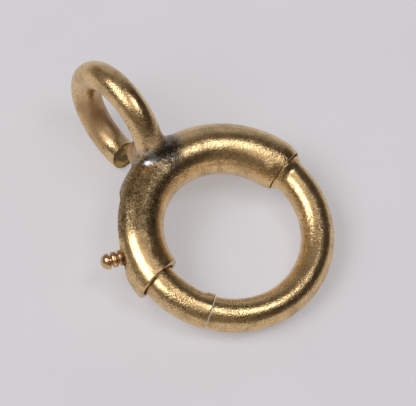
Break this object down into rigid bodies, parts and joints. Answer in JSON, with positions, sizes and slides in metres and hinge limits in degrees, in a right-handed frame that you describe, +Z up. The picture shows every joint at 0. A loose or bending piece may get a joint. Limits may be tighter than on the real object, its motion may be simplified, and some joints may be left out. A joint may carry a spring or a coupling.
{
  "type": "spring ring clasp",
  "caption": "Gold spring ring clasp with a slotted case tube, a sprung sliding bolt with a thumb knob, a thin arm and a soldered wire loop.",
  "frame": {"origin": "centre of the ring, on its centreline plane", "axes": "+Z up as the clasp lies on a table; +Y towards the wire loop; the ring's plane rises 11.3 degrees towards +Y"},
  "size_m": [0.0159, 0.0221, 0.0089],
  "materials": {
    "gold": "polished, with fine pits and scratches",
    "rosy_gold": "polished",
    "spring_steel": "drawn wire"
  },
  "bodies": {
    "case": {"case_tube": "gold", "arm": "gold", "spring": "spring_steel"},
    "slider": {"bolt": "gold", "thumb_knob": "rosy_gold"}
  },
  "joints": [
    {"name": "bolt_slide", "type": "hinge", "parent": "case", "child": "slider", "pos_m": [0, 0, 0], "axis": [0, 0.1967, -0.9805], "range_deg": [0, 30], "stiffness_Nm_per_rad": 0.0001, "springref_deg": -17.19, "deforming": ["spring"]}
  ]
}
